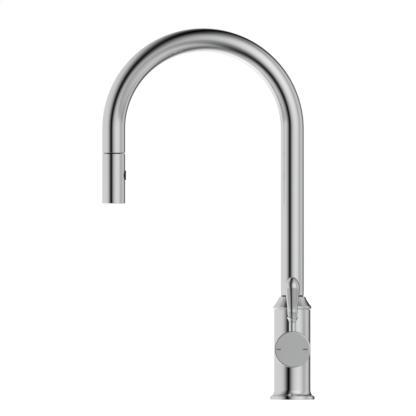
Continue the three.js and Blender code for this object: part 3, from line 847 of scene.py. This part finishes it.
def head_top():
    """The parts that show above the head when it is pulled down: strike ring, core neck and hose nut."""
    low, high = span("strike_ring")
    ring = turned(flat_ring(12.2, 8.9, low[2], high[2], 0.3), 96).moved(x=-REACH)
    piece("strike_plate", ring, "spray_head", ["strike_ring"], STEEL, 50)

    low, high = span("head_core")
    stem_foot, core_shoulder = 252, 298.1
    outline = rounded(
        [(5.5, stem_foot, 0.3), (6.6, stem_foot), (6.6, low[2], 0.3), (12.2, low[2], 0.4),
         (12.2, core_shoulder), (8.6, core_shoulder), (8.6, high[2], 0.5), (5.5, high[2], 0.3)],
        5,
    )
    core = turned(outline, 80).moved(x=-REACH)
    piece("head_core_moulded", core, "spray_head", ["head_core"], GREY, 50)

    low, high = span("hose_nut")

    def flats(r, h, t):
        """Six flats: the outline is the apothem over the cosine of the angle from the nearest flat."""
        turn = np.mod(t, np.pi / 3) - np.pi / 6
        flat = 8.6 * math.cos(math.pi / 6) / np.cos(turn)
        return np.where(r > 7.4, np.minimum(r, flat) - r, 0.0)

    outline = rounded([(0, low[2]), (8.6, low[2], 0.8), (8.6, high[2], 1.0), (0, high[2])], 6, closed=False)
    nut = turned(densified(outline, 0.8), 120, flats).moved(x=-REACH)
    piece("hose_swivel_nut", nut, "hose_end", ["hose_nut"], BRASS, 40)


def spray_plate():
    """The face under the head: a dished plate, twelve rubber nozzles and the aerator in the middle."""
    low, high = span("spray_face")
    outline = rounded(
        [(6.3, low[2] + 0.4, 0.3), (7.2, low[2], 0.3), (11.6, low[2], 0.4), (12.2, low[2] + 0.6, 0.2),
         (12.2, high[2]), (6.3, high[2])],
        5,
    )
    plate = turned(outline, 96).moved(x=-REACH)
    piece("spray_plate", plate, "spray_head", ["spray_face"], GREY, 50)

    low, high = span("nozzle_pad")
    pad = turned(flat_ring(12, 6.3, high[2] - 2, high[2], 0.2), 64)
    hole_end, root = low[2] + 1.2, high[2] - 1.9
    nub = rounded(
        [(0, hole_end), (0.42, hole_end), (0.5, low[2], 0.08), (0.85, low[2], 0.15), (1.25, root), (0, root)],
        3,
        closed=False,
    )
    nozzles, nozzle_circle = 12, 9.2
    for k in range(nozzles):
        a = k * 2 * math.pi / nozzles
        pad = pad + turned(nub, 20).moved(nozzle_circle * math.cos(a), nozzle_circle * math.sin(a))
    piece("rubber_nozzles", pad.moved(x=-REACH), "spray_head", ["nozzle_pad"], RUBBER, 50)

    low, high = span("aerator")
    screen_z = low[2] + 1.4
    outline = rounded(
        [(0, screen_z), (4.7, screen_z, 0.3), (5.2, low[2], 0.25), (6, low[2], 0.3), (6, high[2]),
         (0, high[2])],
        5,
        closed=False,
    )
    shape = turned(densified(outline, 0.18), 120)
    x, y, z = shape.points.T
    mesh_pitch = 0.9
    cells = np.abs(np.sin(x * np.pi / mesh_pitch)) * np.abs(np.sin(y * np.pi / mesh_pitch))
    screen = (z < screen_z + 0.1) & (np.hypot(x, y) < 4.5)
    shape.points[:, 2] = np.where(screen, z + 0.7 * np.minimum(cells * 1.6, 1), z)
    piece("aerator_screen", shape.moved(x=-REACH), "spray_head", ["aerator"], GREY, 50)


def hose_tail():
    """The stretch of hose between the spout and the head's nut, which lengthens as the head is pulled; here
    it is one fixed piece that rides on no body.
    """
    low, high = span("hose_tail")
    side = [(0, low[2]), (HOSE_R, low[2], 0.3), (HOSE_R, high[2], 0.3), (0, high[2])]
    outline = densified(rounded(side, 4, closed=False), 0.25)
    shape = turned(outline, 48).moved(x=-REACH)
    tail = piece("hose_tail_jacket", shape, None, ["hose_tail"], JACKET, 50)
    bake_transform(tail)


# ---------------------------------------------------------------- studio


def camera():
    """A very long lens square on to the side, framing the whole faucet above the deck."""
    lens, sensor = 1600.0, 36.0
    view_width, middle_x, middle_z = 0.5096, -0.1033, 0.2347
    data = bpy.data.cameras.new("studio_camera")
    data.lens, data.sensor_width = lens, sensor
    data.clip_start, data.clip_end = 0.1, 100.0
    made = bpy.data.objects.new("studio_camera", data)
    bpy.context.scene.collection.objects.link(made)
    made.location = (middle_x, -view_width * lens / sensor, middle_z)
    made.rotation_euler = (math.pi / 2, 0, 0)
    bpy.context.scene.camera = made


# What the chrome mirrors, as tones in percent of white on a screen. Azimuth runs from the camera towards +X.
PANELS = [(0, 81), (45, 81), (90, 56)]  # by degrees above the horizon
PALE_GROUND = [(0, 66), (45, 84), (90, 77)]  # by degrees below it
BRIGHTER_BEHIND = 16
PANEL_SHADOWS = [(-2, 38, 17), (79, 18, 15)]  # azimuth, spread, depth
GROUND_SHADOWS = [(85, 15, 10), (37, 38, 7), (-87, 10, 7)]
KEY_GLOW = (17, 22, 24, 19)  # azimuth, elevation, spread, strength

# The gap between the panels lies close to a cone about this azimuth and elevation. By the turn round the
# cone from its top, towards the camera's side: the cone's half angle, how wide the gap's shadow is on the
# axis's side and on the far side, and the tone at its middle.
GAP_AXIS = (64, 11)
GAP = [
    (-130, 84, 20, 20, 30),
    (-85, 85, 20, 20, 20),
    (-45, 86, 22, 22, 0),
    (0, 87, 20, 22, 0),
    (45, 90, 18, 22, 10),
    (90, 88, 13, 17, 0),
    (125, 92, 20, 17, 15),
    (150, 104, 20, 17, 45),
    (230, 84, 20, 20, 30),
]
GAP_SHARPNESS = 1.45


def towards(azimuth, elevation):
    """The unit vector at an azimuth from the camera towards +X, and an elevation."""
    a, e = math.radians(azimuth), math.radians(elevation)
    return np.array([math.cos(e) * math.sin(a), -math.cos(e) * math.cos(a), math.sin(e)])


class Sums:
    """Arithmetic in the world's nodes. Every argument is a socket or a plain number."""

    def __init__(self, tree):
        self.nodes, self.links = tree.nodes, tree.links

    def feed(self, node, *values):
        """Fills a node's inputs in order and gives its first output."""
        for socket, value in zip(node.inputs, values):
            if isinstance(value, bpy.types.NodeSocket):
                self.links.new(value, socket)
            else:
                socket.default_value = value
        return node.outputs[0]

    def sum(self, operation, *values):
        """One step of arithmetic."""
        node = self.nodes.new("ShaderNodeMath")
        node.operation = operation
        return self.feed(node, *values)

    def eased(self, value, start, end, low=0.0, high=1.0):
        """From low to high as the value goes from start to end, flat at both ends."""
        node = self.nodes.new("ShaderNodeMapRange")
        node.interpolation_type = "SMOOTHSTEP"
        return self.feed(node, value, start, end, low, high)

    def between(self, share, first, second):
        """The first value at share 0, the second at share 1."""
        node = self.nodes.new("ShaderNodeMix")
        return self.feed(node, share, (0.5, 0.5, 0.5), first, second)

    def stops(self, degrees, rows, low, high, *scales):
        """Straight runs between the rows' first columns; one output for each scale, times that scale."""
        node = self.nodes.new("ShaderNodeValToRGB")
        place = self.sum("DIVIDE", self.sum("SUBTRACT", degrees, low), high - low)
        self.links.new(place, node.inputs["Fac"])
        elements = node.color_ramp.elements
        while len(elements) < len(rows):
            elements.new(0.5)
        for element, (at, *values) in zip(elements, rows):
            element.position = (at - low) / (high - low)
            shares = [value / scale for value, scale in zip(values, scales)]
            element.color = (*(shares + [0, 0])[:3], 1)
        split = self.nodes.new("ShaderNodeSeparateColor")
        self.links.new(node.outputs["Color"], split.inputs[0])
        return [self.sum("MULTIPLY", out, scale) for out, scale in zip(split.outputs, scales)]

    def shadow(self, azimuth, middle, spread, depth):
        """A soft upright shadow: depth times exp(-((azimuth - middle) / spread) squared)."""
        away = self.sum("DIVIDE", self.sum("SUBTRACT", azimuth, middle), spread)
        fall = self.sum("EXPONENT", self.sum("MULTIPLY", self.sum("MULTIPLY", away, away), -1.0))
        return self.sum("MULTIPLY", fall, depth)

    def along(self, direction, axis):
        """The direction's share along a fixed axis."""
        node = self.nodes.new("ShaderNodeVectorMath")
        node.operation = "DOT_PRODUCT"
        self.links.new(direction, node.inputs[0])
        node.inputs[1].default_value = axis
        return node.outputs["Value"]

    def glow(self, direction, azimuth, elevation, spread, strength):
        """A round glow that falls off as exp(-(1 - cosine) / spread squared), spread in radians."""
        away = self.sum("SUBTRACT", self.along(direction, towards(azimuth, elevation)), 1.0)
        fall = self.sum("EXPONENT", self.sum("DIVIDE", away, math.radians(spread) ** 2))
        return self.sum("MULTIPLY", fall, strength)


def studio_light():
    """What the chrome mirrors: light panels over a pale ground, and the dark gap between the panels.

    Near the gap, at u degrees from its cone, the tone is middle + (open - middle) (1 - exp(-(u / width)^s)),
    with s the gap's sharpness.
    """
    world = bpy.data.worlds.new("studio")
    bpy.context.scene.world = world
    world.use_nodes = True
    tree = world.node_tree
    tree.nodes.clear()
    k = Sums(tree)
    degree = 180 / math.pi

    direction = tree.nodes.new("ShaderNodeTexCoord").outputs["Generated"]
    split = tree.nodes.new("ShaderNodeSeparateXYZ")
    tree.links.new(direction, split.inputs[0])
    x, y, z = split.outputs
    azimuth = k.sum("MULTIPLY", k.sum("ARCTAN2", x, k.sum("MULTIPLY", y, -1.0)), degree)
    elevation = k.sum("MULTIPLY", k.sum("ARCSINE", z), degree)
    depression = k.sum("MULTIPLY", elevation, -1.0)

    (above,) = k.stops(elevation, PANELS, 0, 90, 100)
    for shadow in PANEL_SHADOWS:
        above = k.sum("SUBTRACT", above, k.shadow(azimuth, *shadow))
    above = k.sum("ADD", above, k.glow(direction, *KEY_GLOW))
    (below,) = k.stops(depression, PALE_GROUND, 0, 90, 100)
    for shadow in GROUND_SHADOWS:
        below = k.sum("SUBTRACT", below, k.shadow(azimuth, *shadow))
    below = k.sum("ADD", below, k.eased(y, 0, 0.6, 0, BRIGHTER_BEHIND))
    tone = k.between(k.eased(depression, 2, 9), above, below)

    axis = towards(*GAP_AXIS)
    upright = np.array([0, 0, 1]) - axis * axis[2]
    upright = upright / np.linalg.norm(upright)
    camera_side = np.cross(axis, upright)
    turn = k.sum("ARCTAN2", k.along(direction, camera_side), k.along(direction, upright))
    first, last = GAP[0][0], GAP[-1][0]
    turn = k.sum("WRAP", k.sum("MULTIPLY", turn, degree), last, first)
    half, near, far = k.stops(turn, [row[:4] for row in GAP], first, last, 180, 90, 90)
    (middle,) = k.stops(turn, [(row[0], row[4]) for row in GAP], first, last, 100)
    off_axis = k.sum("MULTIPLY", k.sum("ARCCOSINE", k.along(direction, axis)), degree)
    beyond = k.sum("SUBTRACT", off_axis, half)
    width = k.between(k.sum("GREATER_THAN", beyond, 0.0), near, far)
    spread = k.sum("POWER", k.sum("DIVIDE", k.sum("ABSOLUTE", beyond), width), GAP_SHARPNESS)
    closed = k.sum("EXPONENT", k.sum("MULTIPLY", spread, -1.0))
    tone = k.between(closed, tone, middle)

    # Screen tone to light, over the share of light that chrome gives back.
    lifted = k.sum("MULTIPLY_ADD", tone, 0.01 / 1.055, 0.055 / 1.055)
    light = k.sum("DIVIDE", k.sum("POWER", lifted, 2.4), CHROME_SHARE)
    seen = tree.nodes.new("ShaderNodeLightPath").outputs["Is Camera Ray"]
    background = tree.nodes.new("ShaderNodeBackground")
    k.feed(background, (1, 1, 1, 1), k.between(seen, light, 1))
    output = tree.nodes.new("ShaderNodeOutputWorld")
    tree.links.new(background.outputs[0], output.inputs[0])


def soft_lamp():
    """A wide overhead lamp that lights the floor and the plastics, and leaves no spot in the chrome."""
    data = bpy.data.lights.new("overhead_lamp", "SUN")
    data.energy, data.angle = 3.4, math.radians(70)
    lamp = bpy.data.objects.new("overhead_lamp", data)
    lamp.rotation_euler = (math.radians(18), math.radians(12), 0)
    lamp.visible_glossy = False
    bpy.context.scene.collection.objects.link(lamp)


def floor():
    """A plain pale floor at deck level, wide enough to reach under every camera."""
    half = 30.0
    mesh = bpy.data.meshes.new("pale_floor")
    corners = [(-half, -half, 0), (half, -half, 0), (half, half, 0), (-half, half, 0)]
    mesh.from_pydata(corners, [], [(0, 1, 2, 3)])
    f = Finish("pale_floor_paint", Specular_IOR_Level=0.1, Emission_Color=(1, 1, 1, 1), Emission_Strength=1.0)
    f.tinted(f.noise(3, 2), (0.1, 0.1, 0.1), (0.12, 0.12, 0.12))
    f.rough(f.ranged(f.noise(20, 3), 0.8, 0.95))
    mesh.materials.append(f.material)
    made = bpy.data.objects.new("pale_floor", mesh)
    made.visible_glossy = False
    bpy.context.scene.collection.objects.link(made)


# ---------------------------------------------------------------- everything, in order

bpy.context.scene.view_settings.view_transform = "Standard"
camera()
finish_cad_nodes()
body_casting()
turned_collar()
clamp_under_deck()
supply_pipes()
hub_sleeve_and_dome()
handle_cap()
index_marks()
lever()
gooseneck()
dock()
head_wall()
button()
head_top()
spray_plate()
hose_tail()
studio_light()
soft_lamp()
floor()
